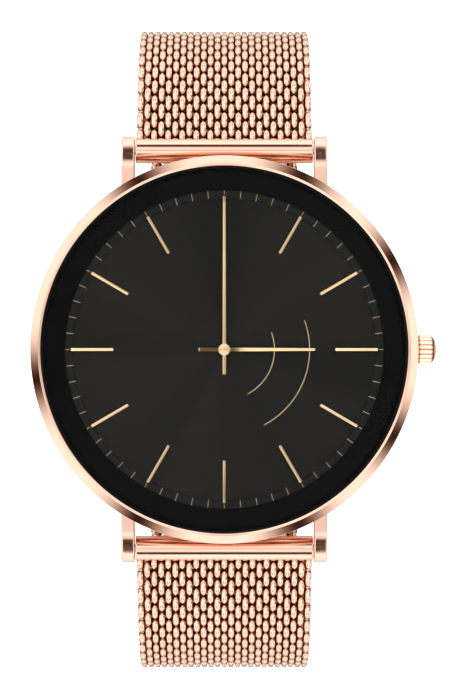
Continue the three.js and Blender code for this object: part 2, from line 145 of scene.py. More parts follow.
def revolved(name, outline, segments=256, closed=True, sharp=32):
    """Turns an outline of (radius, height) about Z. An open one starts and ends on the axis."""
    profile = np.array(outline, float)
    angles = np.arange(segments) * TAU / segments
    ring = np.stack([np.cos(angles), np.sin(angles)], 1)
    vertices = [(c * r, s * r, z) for c, s in ring for r, z in profile]
    count = len(profile)
    faces = []
    for i in range(segments):
        here, there = i * count, (i + 1) % segments * count
        for j in range(count if closed else count - 1):
            k = (j + 1) % count
            corner = [here + j, there + j, there + k, here + k]
            if profile[j][0] < 1e-9:
                corner = [here + j, there + k, here + k]
            if profile[k][0] < 1e-9:
                corner = [here + j, there + j, here + k]
            faces.append(corner)
    return make_object(name, vertices, faces, sharp)


def bevelled(obj, width, segments=3, angle=28):
    """A rounded edge of that width in millimetres, with the flat faces kept flat to the eye."""
    edge = obj.modifiers.new("rounded edges", "BEVEL")
    edge.width = width * MM
    edge.segments = segments
    edge.limit_method = "ANGLE"
    edge.angle_limit = math.radians(angle)
    even = obj.modifiers.new("even shading", "WEIGHTED_NORMAL")
    even.keep_sharp = True
    return obj


def soft_bar(name, outline, start, end, radius, steps=5):
    """A smooth closed outline drawn along X, whose end faces run into it over a round edge."""
    points = np.array(outline, float)
    ahead = np.roll(points, -1, 0) - points
    ahead /= np.linalg.norm(ahead, axis=1)[:, None]
    behind = np.roll(ahead, 1, 0)
    lean = ahead + behind
    lean /= np.linalg.norm(lean, axis=1)[:, None]
    area = np.sum(points[:, 0] * np.roll(points[:, 1], -1) - np.roll(points[:, 0], -1) * points[:, 1])
    inward = np.stack([-lean[:, 1], lean[:, 0]], 1) * np.sign(area)
    inward /= np.sum(ahead * lean, axis=1)[:, None]
    low_x, high_x = min(start, end), max(start, end)
    angles = np.linspace(0, math.pi / 2, steps)
    near = [(low_x + radius * (1 - math.sin(a)), radius * (1 - math.cos(a))) for a in angles[::-1]]
    hold = radius * 1.3
    stations = near + [(low_x + hold, 0), (high_x - hold, 0)]
    stations += [(low_x + high_x - x, inset) for x, inset in near[::-1]]
    vertices, count = [], len(points)
    for x, inset in stations:
        vertices += [(x, a, b) for a, b in points + inward * inset]
    faces = [list(range(count)), [(len(stations) - 1) * count + i for i in range(count)]]
    for i in range(len(stations) - 1):
        for j in range(count):
            k = (j + 1) % count
            faces.append([i * count + j, i * count + k, (i + 1) * count + k, (i + 1) * count + j])
    return make_object(name, vertices, faces, 40)


def extruded(name, outline, start, end, axis="x"):
    """An outline of two coordinates drawn out along the third axis, from start to end."""
    count = len(outline)
    vertices = []
    for depth in (start, end):
        for a, b in outline:
            vertices.append((depth, a, b) if axis == "x" else (a, b, depth))
    faces = [list(range(count))[::-1], list(range(count, 2 * count))]
    for i in range(count):
        k = (i + 1) % count
        faces.append([i, k, count + k, count + i])
    obj = make_object(name, vertices, faces, 30)
    return obj


def joined(name, objects):
    """Joins objects into the first one and names it."""
    bpy.context.view_layer.update()
    target = objects[0]
    with bpy.context.temp_override(
        active_object=target, object=target, selected_objects=objects, selected_editable_objects=objects
    ):
        bpy.ops.object.join()
    target.name = name
    target.data.name = name
    return target


def turned_to_x(obj, y=0.0, z=0.0):
    """Lays a piece that was turned about Z along X instead, at a height and a depth."""
    move = Matrix.Translation((0, y * MM, z * MM)) @ Matrix.Rotation(math.pi / 2, 4, "Y")
    obj.data.transform(move)
    return obj


# --------------------------------------------------------------------- materials


class Look:
    """One node material round a Principled shader, in object coordinates."""

    def __init__(self, name, metallic, ior=1.5, **sockets):
        self.material = bpy.data.materials.new(name)
        self.material.use_nodes = True
        self.tree = self.material.node_tree
        self.shader = self.tree.nodes["Principled BSDF"]
        self.shader.inputs["Metallic"].default_value = metallic
        self.shader.inputs["IOR"].default_value = ior
        for socket, value in sockets.items():
            self.shader.inputs[socket.replace("_", " ")].default_value = value
        self.coordinates = self.node("ShaderNodeTexCoord").outputs["Object"]

    def node(self, kind, **settings):
        made = self.tree.nodes.new(kind)
        for key, value in settings.items():
            setattr(made, key, value)
        return made

    def link(self, source, target):
        self.tree.links.new(source, target)
        return target.node

    def noise(self, scale, detail=3, stretch=(1, 1, 1), vector=None):
        mapping = self.node("ShaderNodeMapping")
        mapping.inputs["Scale"].default_value = stretch
        self.link(vector or self.coordinates, mapping.inputs["Vector"])
        texture = self.node("ShaderNodeTexNoise")
        texture.inputs["Scale"].default_value = scale
        texture.inputs["Detail"].default_value = detail
        self.link(mapping.outputs["Vector"], texture.inputs["Vector"])
        return texture.outputs["Fac"]

    def around_noise(self, gradient, scale, detail):
        """Noise that changes only with the angle round Z."""
        made = self.node("ShaderNodeTexNoise", noise_dimensions="1D")
        made.inputs["Scale"].default_value = scale
        made.inputs["Detail"].default_value = detail
        self.link(gradient.outputs["Fac"], made.inputs["W"])
        return made.outputs["Fac"]

    def ramp(self, factor, *stops):
        made = self.node("ShaderNodeValToRGB")
        elements = made.color_ramp.elements
        while len(elements) < len(stops):
            elements.new(0.5)
        for element, (at, colour) in zip(elements, stops):
            element.position = at
            element.color = (*colour, 1)
        self.link(factor, made.inputs["Fac"])
        return made.outputs["Color"]

    def spread(self, factor, from_low, from_high, to_low, to_high):
        made = self.node("ShaderNodeMapRange")
        limits = {"From Min": from_low, "From Max": from_high, "To Min": to_low, "To Max": to_high}
        for key, value in limits.items():
            made.inputs[key].default_value = value
        self.link(factor, made.inputs["Value"])
        return made.outputs["Result"]

    def colour(self, output):
        self.link(output, self.shader.inputs["Base Color"])

    def roughness(self, output):
        self.link(output, self.shader.inputs["Roughness"])

    def bump(self, height, strength, distance_mm):
        made = self.node("ShaderNodeBump")
        made.inputs["Strength"].default_value = strength
        made.inputs["Distance"].default_value = distance_mm * MM
        self.link(height, made.inputs["Height"])
        self.link(made.outputs["Normal"], self.shader.inputs["Normal"])


def metal(name, pale, deep, smooth, rough, grain=900, stretch=(1, 1, 1), bump=0.06, metallic=1.0):
    """Plated or bare metal: slow drifts of tone, a fine grain in the roughness and the surface."""
    look = Look(name, metallic)
    drift = look.noise(180, 2)
    look.colour(look.ramp(drift, (0.3, deep), (0.7, pale)))
    grit = look.noise(grain, 4, stretch)
    look.roughness(look.spread(grit, 0.3, 0.7, smooth, rough))
    look.bump(look.noise(grain * 2.2, 3, stretch), bump, 0.004)
    return look.material


def shade_painted_metal(name, deep, pale, shades, smooth, rough, grain):
    """Plated metal with painted shade: its colour darkens where the rise attribute is low, in the hollows
    between wires and teeth where shade falls.
    """
    look = Look(name, 1.0)
    rise = look.node("ShaderNodeAttribute", attribute_name="rise").outputs["Fac"]
    depth = look.node("ShaderNodeMath", operation="MULTIPLY_ADD")
    depth.inputs[1].default_value = 0.12
    look.link(look.noise(1500, 3), depth.inputs[0])
    look.link(rise, depth.inputs[2])
    tone = look.ramp(look.noise(240, 2), (0.3, deep), (0.7, pale))
    shade = look.ramp(depth.outputs[0], *shades)
    # The tone times the shade ramp: painted shade in the hollows.
    shaded_tone = look.node("ShaderNodeMix", data_type="RGBA", blend_type="MULTIPLY")
    shaded_tone.inputs["Factor"].default_value = 1.0
    look.link(tone, shaded_tone.inputs[6])
    look.link(shade, shaded_tone.inputs[7])
    look.colour(shaded_tone.outputs[2])
    look.roughness(look.spread(look.noise(grain, 4), 0.3, 0.7, smooth, rough))
    look.bump(look.noise(grain * 2, 3), 0.015, 0.004)
    return look.material


def lacquer(name, pale, deep, smooth, rough, grain=700, bump=0.1, level=0.3):
    """A painted, moulded or rubber surface."""
    look = Look(name, 0.0, Specular_IOR_Level=level)
    look.colour(look.ramp(look.noise(grain, 4), (0.3, deep), (0.7, pale)))
    look.roughness(look.spread(look.noise(grain * 0.5, 3), 0.3, 0.7, smooth, rough))
    look.bump(look.noise(grain * 3, 3), bump, 0.006)
    return look.material


def sunburst(name, pale, deep, smooth, rough, rays, level, sheen_fans=7.3):
    """Fine rays that run out from the middle of the dial, over broad fans of painted sheen: lighter and darker
    sectors that stand in for the light a sunray finish throws back.
    """
    look = Look(name, 0.0, Specular_IOR_Level=level)
    around = look.node("ShaderNodeTexGradient", gradient_type="RADIAL")
    look.link(look.coordinates, around.inputs["Vector"])
    ray = look.around_noise(around, rays, 4)
    # Broad fans of painted sheen round the dial, mixed into the rays' colour.
    sheen_fan = look.around_noise(around, sheen_fans, 1)
    both = look.node("ShaderNodeMath", operation="MULTIPLY_ADD")
    both.inputs[1].default_value = 0.35
    look.link(ray, both.inputs[0])
    look.link(sheen_fan, both.inputs[2])
    look.colour(look.ramp(both.outputs[0], (0.42, deep), (0.92, pale)))
    look.roughness(look.spread(ray, 0.3, 0.7, smooth, rough))
    look.bump(ray, 0.25, 0.004)
    return look.material


def coated_glass(name):
    """Sapphire with an anti-reflective coat, so that it mirrors little; faint wipe marks."""
    look = Look(name, 0.0, ior=1.5)
    look.shader.inputs["Alpha"].default_value = 0.035
    look.colour(look.ramp(look.noise(60, 2), (0.2, (0.004, 0.004, 0.005)), (0.8, (0.006, 0.006, 0.007))))
    look.roughness(look.spread(look.noise(90, 3, (1, 4, 1)), 0.3, 0.7, 0.0, 0.02))
    return look.material


GOLD = (0.86, 0.555, 0.425)
GOLD_DEEP = (0.82, 0.52, 0.395)

LOOKS = {
    "case_gold": metal("polished rose gold", GOLD, GOLD_DEEP, 0.03, 0.075, 1500, bump=0.03),
    # The wire's colour darkens towards the strap's middle by the rise attribute: painted shade between the
    # wires.
    "mesh_gold": shade_painted_metal("drawn rose gold wire", (0.88, 0.585, 0.44), (0.94, 0.64, 0.49), (
        (0.3, (0.17, 0.08, 0.055)), (0.52, (0.42, 0.23, 0.16)), (0.72, (1, 1, 1)),
    ), 0.06, 0.11, 2600),
    "pale_gold": metal("pale gold", (0.90, 0.65, 0.37), (0.84, 0.58, 0.31), 0.07, 0.12, 2400, bump=0.03),
    "crystal_glass": coated_glass("coated sapphire"),
    "gasket_rubber": lacquer(
        "black rubber", (0.004, 0.004, 0.004), (0.0025, 0.0025, 0.0025), 0.5, 0.7, level=0.1,
    ),
    "flange_black": lacquer(
        "gloss black flange", (0.0016, 0.0015, 0.0014), (0.001, 0.001, 0.001), 0.3, 0.36, 500, 0.01, 0.03,
    ),
    "dial_black": sunburst(
        "black sunray dial", (0.0168, 0.0162, 0.0149), (0.0078, 0.0075, 0.0069), 0.34, 0.46, 420, 0.06,
    ),
    "holder_plastic": lacquer("moulded holder", (0.66, 0.65, 0.61), (0.6, 0.59, 0.55), 0.45, 0.6),
    "movement_steel": metal(
        "nickelled steel", (0.62, 0.62, 0.63), (0.54, 0.54, 0.55), 0.18, 0.32, 1200, (1, 14, 1), 0.1,
    ),
    "coil_copper": metal(
        "wound copper", (0.78, 0.36, 0.2), (0.62, 0.26, 0.13), 0.25, 0.4, 2400, (26, 1, 1), 0.5,
    ),
    "board_green": lacquer("circuit board", (0.03, 0.12, 0.055), (0.02, 0.085, 0.035), 0.35, 0.5),
    "train_brass": metal("gilt brass", (0.82, 0.6, 0.24), (0.74, 0.52, 0.19), 0.16, 0.3, 1400, bump=0.08),
}
LINE_LOOK = metal(
    "printed gold lines", (0.8, 0.58, 0.31), (0.72, 0.51, 0.26), 0.3, 0.42, 3000, bump=0.1, metallic=0.8,
)
# The knurl's teeth are painted paler than the case gold at their crests, a painted highlight, and darker in
# their grooves, painted shade.
CROWN_LOOK = shade_painted_metal("knurled rose gold", (0.95, 0.79, 0.62), (0.98, 0.85, 0.7), (
    (0.06, (0.04, 0.016, 0.01)), (0.3, (0.42, 0.17, 0.08)),
    (0.58, (0.85, 0.5, 0.32)), (0.84, (1, 0.98, 0.95)),
), 0.05, 0.1, 2000)
TRACK_LOOK = sunburst(
    "black minute track", (0.0095, 0.009, 0.0082), (0.006, 0.0058, 0.0052), 0.3, 0.5, 2600, 0.12,
)

# ------------------------------------------------------------------ case and glass


# How steeply the top of a lug falls, in degrees, at some distances from the dial's middle.
LUG_SLOPES = ((18.1, 1), (18.5, 9), (19.1, 17), (20.1, 23), (20.5, 29), (20.95, 44))
LUG_TOP = 4.04
LUG_ROOT = 15.2


def lug_outline():
    """A lug seen from the side, as (distance, height), with its top curving down to the tip."""
    tip = high("case_middle").y
    bend = np.linspace(LUG_SLOPES[0][0], LUG_SLOPES[-1][0], 16)
    slopes = np.radians(np.interp(bend, *zip(*LUG_SLOPES)))
    drops = np.append(0, np.cumsum(np.tan(slopes[:-1]) * np.diff(bend)))
    return [(LUG_ROOT, LUG_TOP), (17.2, LUG_TOP), *zip(bend, LUG_TOP - drops)] + [
        (tip - 0.13, 2.83), (tip - 0.07, 2.7), (tip - 0.02, 2.55), (tip, 2.4),
        (tip, 1.4), (tip - 0.03, 1.25), (tip - 0.1, 1.14), (tip - 0.25, 1.08),
        (20.2, 1.02), (18.5, 1.1), (LUG_ROOT, 1.35),
    ]


def build_case():
    gold = LOOKS["case_gold"]
    band = revolved("case_band", filleted([
        (16.3, 0.9), (17.4, 0.9), (18.3, 1.7), (18.3, 4.1), (17.2, 4.1), (17.2, 4.7), (16.25, 4.7),
        (16.25, 4.1), (15.3, 4.1), (15.3, 0.9), (15.7, 0.9), (15.7, 1.3), (16.3, 1.3),
    ], 0.09), 288)
    settle(band, "case", "case_gold", gold, "case_middle")
    inner, outer = 9.0, high("strap_12_tube").x + 1.4
    for hour, side in (("12", 1), ("6", -1)):
        for hand, sign in (("right", 1), ("left", -1)):
            outline = [(side * y, z) for y, z in lug_outline()]
            lug = soft_bar(f"lug_{hour}_{hand}", outline, sign * inner, sign * outer, 0.11)
            settle(lug, "case", "case_gold", gold)
    face = BEZEL_TOP - 0.6
    bezel = revolved("bezel_ring", filleted([
        (17.25, 4.15), (18.75, 4.15), (BEZEL_R, 4.6), (BEZEL_R, face), (18.42, BEZEL_TOP),
        (18.2, BEZEL_TOP - 0.06), (18.2, 4.72), (17.25, 4.72),
    ], 0.035), 384)
    settle(bezel, "case", "case_gold", gold, "bezel")
    back = revolved("case_back_cover", [(0, 0)] + filleted([
        (0, 0), (11.0, 0), (11.08, 0.05), (11.2, 0.05), (11.28, 0), (16.6, 0), (17.0, 0.35), (17.0, 0.85),
        (15.2, 0.85), (15.2, 1.1), (0, 1.1),
    ], 0.06, closed=False)[1:], 256, closed=False)
    settle(back, "case", "case_gold", gold, "case_back")


def build_glass():
    radius, bottom, top = high("crystal").x, low("crystal").z, high("crystal").z
    glass = revolved("crystal_disc", filleted([
        (0, bottom), (radius, bottom), (radius, top - 0.17), (radius - 0.15, top), (0, top),
    ], 0.05, closed=False), 256, closed=False)
    settle(glass, "case", "crystal_glass", LOOKS["crystal_glass"], "crystal")
    seal_in, seal_out, seal_low, seal_high = 17.98, 18.17, 5.49, 6.42
    seal = revolved("crystal_seal", filleted([
        (seal_in, seal_low), (seal_out, seal_low), (seal_out, seal_high), (seal_in, seal_high),
    ], 0.05), 256)
    settle(seal, "case", "gasket_rubber", LOOKS["gasket_rubber"], "crystal_gasket")


# ---------------------------------------------------------------------------- dial


def roof(stations, base, turn=0.0):
    """A bar along X with a ridge: stations are (x, half width, side height, ridge height)."""
    spin = Matrix.Rotation(turn, 3, "Z")
    vertices, size = [], 5
    for x, half, side, ridge in stations:
        for point in ((x, -half, base), (x, half, base), (x, half, side), (x, 0, ridge), (x, -half, side)):
            vertices.append(tuple(spin @ Vector(point)))
    last = (len(stations) - 1) * size
    faces = [list(range(size))[::-1], list(range(last, last + size))]
    for i in range(len(stations) - 1):
        for j in range(size):
            k = (j + 1) % size
            faces.append([i * size + j, i * size + k, (i + 1) * size + k, (i + 1) * size + j])
    return vertices, faces


def gathered(name, parts, sharp=20):
    """One object from several (vertices, faces) pairs."""
    vertices, faces = [], []
    for points, sides in parts:
        faces += [[len(vertices) + i for i in side] for side in sides]
        vertices += points
    return make_object(name, vertices, faces, sharp)


def strip(inner, outer, start, end, bottom, top, steps=40):
    """A flat arc of line between two radii and two angles in degrees."""
    vertices = []
    for i in range(steps + 1):
        angle = math.radians(start + (end - start) * i / steps)
        c, s = math.cos(angle), math.sin(angle)
        for r, z in ((inner, bottom), (outer, bottom), (outer, top), (inner, top)):
            vertices.append((r * c, r * s, z))
    faces = [[3, 2, 1, 0], [steps * 4 + k for k in range(4)]]
    for i in range(steps):
        for j in range(4):
            k = (j + 1) % 4
            faces.append([i * 4 + j, i * 4 + k, (i + 1) * 4 + k, (i + 1) * 4 + j])
    return vertices, faces


def build_dial():
    edge = high("dial").x
    face = revolved("dial_face", filleted([
        (0.6, 4.12), (edge, 4.12), (edge, DIAL_TOP), (0.6, DIAL_TOP),
    ], 0.03), 256)
    settle(face, "case", "dial_black", LOOKS["dial_black"], "dial")
    inside = 15.05
    track = revolved("minute_track", filleted([
        (inside, 4.51), (edge, 4.51), (edge, TRACK_TOP), (inside + 0.2, TRACK_TOP), (inside + 0.17, 4.56),
        (inside + 0.07, 4.56), (inside + 0.04, TRACK_TOP), (inside, TRACK_TOP),
    ], 0.012), 288)
    settle(track, "case", "dial_black", TRACK_LOOK, "chapter_ring")
    flange = revolved("gloss_flange", filleted([
        (15.85, 4.75), (18.15, 4.75), (18.15, 5.45), (17.6, 5.45), (15.85, 4.9),
    ], 0.04), 288)
    settle(flange, "case", "flange_black", LOOKS["flange_black"], "flange_ring")


def build_indices():
    hours, minutes = 12, 60
    start, end, half = 11.0, 15.38, 0.135
    side, ridge = DIAL_TOP + 0.2, high("index_ring").z
    bars = []
    for hour in range(hours):
        bars.append(roof([
            (start, half * 0.86, side - 0.09, side - 0.06), (start + 0.07, half, side - 0.02, ridge - 0.02),
            (start + 0.13, half, side, ridge), (end - 0.1, half, side, ridge),
            (end, half * 0.9, side - 0.05, side),
        ], DIAL_TOP, hour * TAU / hours))
    batons = gathered("hour_batons", bars)
    settle(batons, "case", "pale_gold", LOOKS["pale_gold"], "index_ring")
    lines = []
    line_half, line_end = 0.022, 15.84
    side, ridge = TRACK_TOP + 0.02, TRACK_TOP + 0.03
    for minute in range(minutes):
        near = 15.1 if minute % 5 else 15.45
        lines.append(roof([
            (near, line_half, side, ridge), (line_end, line_half, side, ridge),
        ], TRACK_TOP - 0.01, minute * TAU / minutes))
    settle(gathered("minute_lines", lines), "case", "pale_gold", LINE_LOOK)
    arcs = [
        strip(inner, outer, -62, 20, DIAL_TOP - 0.005, DIAL_TOP + 0.012)
        for inner, outer in ((4.965, 5.035), (8.465, 8.535))
    ]
    settle(gathered("dial_arcs", arcs), "case", "pale_gold", LINE_LOOK)


def build_hands():
    for name, body, node, turn, length, tail, hub, tip in (
        ("hour_pointer", "hour", "hour_hand", 0.0, high("hour_hand").x, 2.55, 0.19, 0.125),
        ("minute_pointer", "minute", "minute_hand", math.pi / 2, high("minute_hand").y, 2.5, 0.175, 0.115),
    ):
        base = 4.94 if body == "hour" else 5.22
        side, ridge = base + 0.055, base + 0.115
        blade = roof([
            (-tail, hub * 0.86, side - 0.03, side), (-tail + 0.07, hub * 0.95, side, ridge),
            (0, hub, side, ridge),
            (length - 0.14, tip, side, ridge), (length, tip * 0.72, side - 0.03, side),
        ], base, turn)
        pieces = [gathered(name, [blade])]
        if body == "minute":
            cap = revolved("cap", filleted([
                (0, 5.18), (0.6, 5.18), (0.6, 5.34), (0.5, 5.41), (0.3, 5.43), (0.26, 5.47), (0, 5.5),
            ], 0.02, closed=False), 48, closed=False, sharp=24)
            pieces.append(cap)
        else:
            pieces.append(revolved("collar", filleted([
                (0.3, 4.87), (0.62, 4.87), (0.62, 5.03), (0.54, 5.1), (0.3, 5.1),
            ], 0.02), 48, sharp=24))
        settle(joined(name, pieces), body, "pale_gold", LOOKS["pale_gold"], node)


# --------------------------------------------------------------------------- crown


def build_crown():
    """Rings of points along X: each station is (x, radius of the roots, height of the teeth)."""
    teeth, per_tooth = 18, 12
    around = teeth * per_tooth
    radius = (high("crown").z - low("crown").z) / 2
    start, end = 19.3, high("crown").x
    angles = np.arange(around) * TAU / around
    share = np.arange(around) % per_tooth / per_tooth
    wave = np.interp(np.minimum(share, 1 - share), (0, 0.2, 0.27, 0.4, 0.46, 0.5), (1, 0.93, 0.8, 0.08, 0, 0))
    root, knurl_end = 1.33, end - 0.4
    lift_full = radius - root
    stations = [
        (low("crown").x, 1.1, 0), (start - 0.05, 1.1, 0), (start - 0.02, 1.16, 0),
        (start, 1.2, 0), (start + 0.02, 1.22, 0.02), (start + 0.1, 1.25, 0.06),
        (start + 0.24, root - 0.02, lift_full * 0.8), (start + 0.29, root, lift_full),
        (start + 0.33, root, lift_full), (knurl_end - 0.2, root, lift_full),
        (knurl_end - 0.16, root, lift_full), (knurl_end - 0.1, root - 0.02, lift_full * 0.85),
        (knurl_end + 0.02, root - 0.08, 0.02), (knurl_end + 0.04, root - 0.1, 0),
        (knurl_end + 0.06, root - 0.08, 0), (knurl_end + 0.14, 1.16, 0), (knurl_end + 0.23, 1.0, 0),
        (knurl_end + 0.31, 0.8, 0), (knurl_end + 0.37, 0.58, 0), (end - 0.005, 0.4, 0), (end, 0.3, 0),
    ]
    vertices = []
    for x, r, lift in stations:
        reach = r + lift * wave
        vertices += [(x, q * math.cos(a), CROWN_AXIS_Z + q * math.sin(a)) for q, a in zip(reach, angles)]
    faces = []
    for i in range(len(stations) - 1):
        for j in range(around):
            k = (j + 1) % around
            faces.append([i * around + j, i * around + k, (i + 1) * around + k, (i + 1) * around + j])
    faces.append(list(range(around))[::-1])
    faces.append([(len(stations) - 1) * around + j for j in range(around)])
    crown = make_object("crown_head", vertices, faces, 75)
    # The rise sets the knurl's painted shade: low in the grooves, full on the teeth; the last five rings, the
    # dome, get full rise and so no painted shade.
    heights = np.concatenate([r + lift * wave for _, r, lift in stations])
    heights[-5 * around:] = radius
    rise = crown.data.attributes.new("rise", "FLOAT", "POINT")
    rise.data.foreach_set("value", ((heights - 1.2) / (radius - 1.2)).astype(np.float32))
    settle(crown, "crown_body", "case_gold", CROWN_LOOK, "crown")


# --------------------------------------------------------------------------- strap

BAND_HEADING = math.radians(28)
# The strap's middle line in order, as (length, radius of the bend); radius 0 is straight.
BAND_PARTS = (
    (4.45, 0.0),
    (18.0 * math.radians(62), 18.0),
    (75.0 * math.radians(18), 75.0),
    (14.0 * math.radians(72), 14.0),
)


def band_point(distance):
    """The strap's middle line at a distance from the spring bar: y, z and heading below level."""
    left, heading, y, z = distance, BAND_HEADING, BAR.y, BAR.z
    for length, radius in BAND_PARTS:
        run = min(left, length)
        if radius == 0:
            y, z = y + run * math.cos(heading), z - run * math.sin(heading)
        else:
            turn = heading + run / radius
            y += radius * (math.sin(turn) - math.sin(heading))
            z -= radius * (math.cos(heading) - math.cos(turn))
            heading = turn
        left -= run
        if left <= 0:
            return y, z, heading
    return y - left, z, heading


LINE_STEP = 0.05
LINE = np.array([band_point(i * LINE_STEP) for i in range(1700)])
LINE_AT = np.arange(len(LINE)) * LINE_STEP
WIRE_R = 0.33
ROD_R = 0.17
SELVAGE_X = 8.44
INNER_SELVAGE_X = 7.98
SELVAGE_R = 0.28
# The edge wires get a fixed rise, which sets how much painted shade the wire material gives them.
SELVAGE_RISE = 0.58
INNER_SELVAGE_RISE = 0.36
BORE_CLEAR = 1.2
COIL_REACH = 0.74
COIL_LIFT = 0.36
COLUMN = 17.0 / 12
EDGE_X = 8.5
FIRST_ROW = 1.4
ROW = 2.1
COLUMNS = 13
LEG_PHASES = (-84, -66, -46, -23, 0, 23, 46, 66, 84, 100, 118, 138, 159, 180, 201, 222, 242, 260)
WIRE_SIDES = 8


def coil_centreline(centre, first_x, turns):
    """A wire wound flat across the strap: distance, height off the middle line, and x."""
    phases = [turn * 360 + p for turn in range(turns) for p in LEG_PHASES]
    phases = np.array([p for p in phases if p <= (turns - 1) * 360 + 90], float)
    along = centre + COIL_REACH * np.sin(np.radians(phases))
    lift = COIL_LIFT * np.cos(np.radians(phases))
    turn = np.floor((phases + 90) / 360)
    local = phases - turn * 360
    slide = np.interp(local, (-90, -88, 88, 272), (-0.01, 0, 0, 1))
    return along, lift, first_x + COLUMN * (turn + slide)


def bent(along, lift, across, side, radius):
    """A wire's surface from its centreline, bent to the strap's line: points, heights, quads, caps."""
    along = np.maximum(along, BORE_CLEAR)
    y = np.interp(along, LINE_AT, LINE[:, 0])
    z = np.interp(along, LINE_AT, LINE[:, 1])
    heading = np.interp(along, LINE_AT, LINE[:, 2])
    out = np.stack([0 * y, side * np.sin(heading), np.cos(heading)], 1)
    path = np.stack([across, side * y, z], 1) + lift[:, None] * out
    tangent = np.gradient(path, axis=0)
    tangent /= np.linalg.norm(tangent, axis=1)[:, None]
    level = np.array((1.0, 0, 0)) if radius > ROD_R else np.array((0, 0.6, 0.8))
    u = np.cross(tangent, level)
    u /= np.linalg.norm(u, axis=1)[:, None]
    v = np.cross(tangent, u)
    angles = np.arange(WIRE_SIDES) * TAU / WIRE_SIDES
    spoke = np.cos(angles)[None, :, None] * u[:, None] + np.sin(angles)[None, :, None] * v[:, None]
    height = lift[:, None] + radius * np.einsum("ijk,ik->ij", spoke, out)
    points = path[:, None] + radius * spoke
    index = np.arange(len(path) * WIRE_SIDES).reshape(len(path), WIRE_SIDES)
    after = np.roll(index, -1, axis=1)
    quads = np.stack([index[:-1], after[:-1], after[1:], index[1:]], 2).reshape(-1, 4)
    caps = [index[0].tolist()[::-1], index[-1].tolist()]
    return points.reshape(-1, 3), height.ravel(), quads, caps


def coil(centre, first_x, turns, side, hand):
    """One wound wire; neighbouring coils are wound to opposite hands."""
    along, lift, across = coil_centreline(centre, first_x, turns)
    return bent(along, lift, across if hand > 0 else -across, side, WIRE_R)


def rod_through(centre, side):
    """The straight wire that locks two neighbouring coils together."""
    across = np.linspace(-EDGE_X, EDGE_X, 5)
    return bent(np.full(5, centre), np.zeros(5), across, side, ROD_R)


def weave(name, start, end, side):
    """All the coils whose middle lies between two distances along the strap, as one object."""
    vertices, heights, faces, total = [], [], [], 0
    row = 0
    while FIRST_ROW + row * ROW / 2 < end:
        centre = FIRST_ROW + row * ROW / 2
        odd = row % 2
        if centre >= start:
            wires = [
                coil(centre, -EDGE_X + COLUMN / 2 * odd, COLUMNS - odd, side, 1 - 2 * odd),
                rod_through(centre + ROW / 4, side),
            ]
            for points, height, quads, caps in wires:
                vertices.append(points)
                heights.append(height)
                faces += (quads + total).tolist() + [[i + total for i in cap] for cap in caps]
                total += len(points)
        row += 1
    for across, height_share in (
        (SELVAGE_X, SELVAGE_RISE), (INNER_SELVAGE_X, INNER_SELVAGE_RISE),
        (-INNER_SELVAGE_X, INNER_SELVAGE_RISE), (-SELVAGE_X, SELVAGE_RISE),
    ):
        along = np.arange(start if start > 0 else TUBE_R, end, 0.4)
        points, height, quads, caps = bent(along, 0 * along, across + 0 * along, side, SELVAGE_R)
        vertices.append(points)
        heights.append(0 * height + height_share * (COIL_LIFT + WIRE_R))
        faces += (quads + total).tolist() + [[i + total for i in cap] for cap in caps]
        total += len(points)
    data = bpy.data.meshes.new(name)
    data.from_pydata((np.concatenate(vertices) * MM).tolist(), [], faces)
    data.shade_smooth()
    # The rise is how far a point stands out from the strap's middle line; the wire material paints shade where
    # it is low.
    rise = data.attributes.new("rise", "FLOAT", "POINT")
    share = np.abs(np.concatenate(heights)) / (COIL_LIFT + WIRE_R)
    rise.data.foreach_set("value", share.astype(np.float32))
    obj = bpy.data.objects.new(name, data)
    bpy.context.scene.collection.objects.link(obj)
    return obj


def place(distance, side):
    """A point of the strap's middle line in metres."""
    y, z, _ = band_point(distance)
    return (0, side * y * MM, z * MM)


def build_mesh(hour, side, end):
    """Five lengths of weave: two ride on a stiff end, and the three between them stay where they are made."""
    gold = LOOKS["mesh_gold"]
    names = [f"strap_{hour}_{letter}" for letter in "abcd"]
    first = weave(f"weave_{hour}_case_end", 0, 11.4, side)
    settle(first, names[0], "mesh_gold", gold, f"strap_{hour}_mesh_a")
    last = weave(f"weave_{hour}_clasp_end", 66.2, end, side)
    settle(last, names[3], "mesh_gold", gold, f"strap_{hour}_mesh_d")
    for i, (start, stop, bend_from, bend_to) in enumerate((
        (11.4, 32.4, 12.6, 31.2), (32.4, 53.4, 33.6, 52.2), (53.4, 66.2, 57.0, 65.1),
    )):
        length = weave(f"weave_{hour}_bend_{i + 1}", start, stop, side)
        length.data.materials.append(gold)
        place(bend_from, side)
        place(bend_to, side)
        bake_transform(length)
        if i < 2:
            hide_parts(f"strap_{hour}_mesh_{'bc'[i]}")


def tube(name, radius, bore, half, y, z, segments=64):
    """A round tube along X with turned ends."""
    return turned_to_x(revolved(name, filleted([
        (bore, -half), (radius, -half), (radius, half), (bore, half),
    ], 0.1), segments), y, z)


def build_straps():
    for hour, side in (("12", 1), ("6", -1)):
        half = high(f"strap_{hour}_tube").x
        lug_tube = tube(f"end_tube_{hour}", TUBE_R, 0.8, half, side * BAR.y, BAR.z, 96)
        settle(lug_tube, f"strap_{hour}_a", "case_gold", LOOKS["case_gold"], f"strap_{hour}_tube")
    build_mesh("12", 1, 76.0)
    build_mesh("6", -1, 79.0)
    box_low, box_high = low("strap_tip"), high("strap_tip")
    tip = extruded("strap_end_cap", [
        (box_low.y, box_low.z), (box_high.y - 0.25, box_low.z), (box_high.y, box_low.z + 0.25),
        (box_high.y, box_high.z - 0.25), (box_high.y - 0.25, box_high.z), (box_low.y, box_high.z),
    ], box_low.x, box_high.x)
    settle(bevelled(tip, 0.12), "strap_6_d", "case_gold", LOOKS["case_gold"], "strap_tip")


# --------------------------------------------------------------------------- clasp


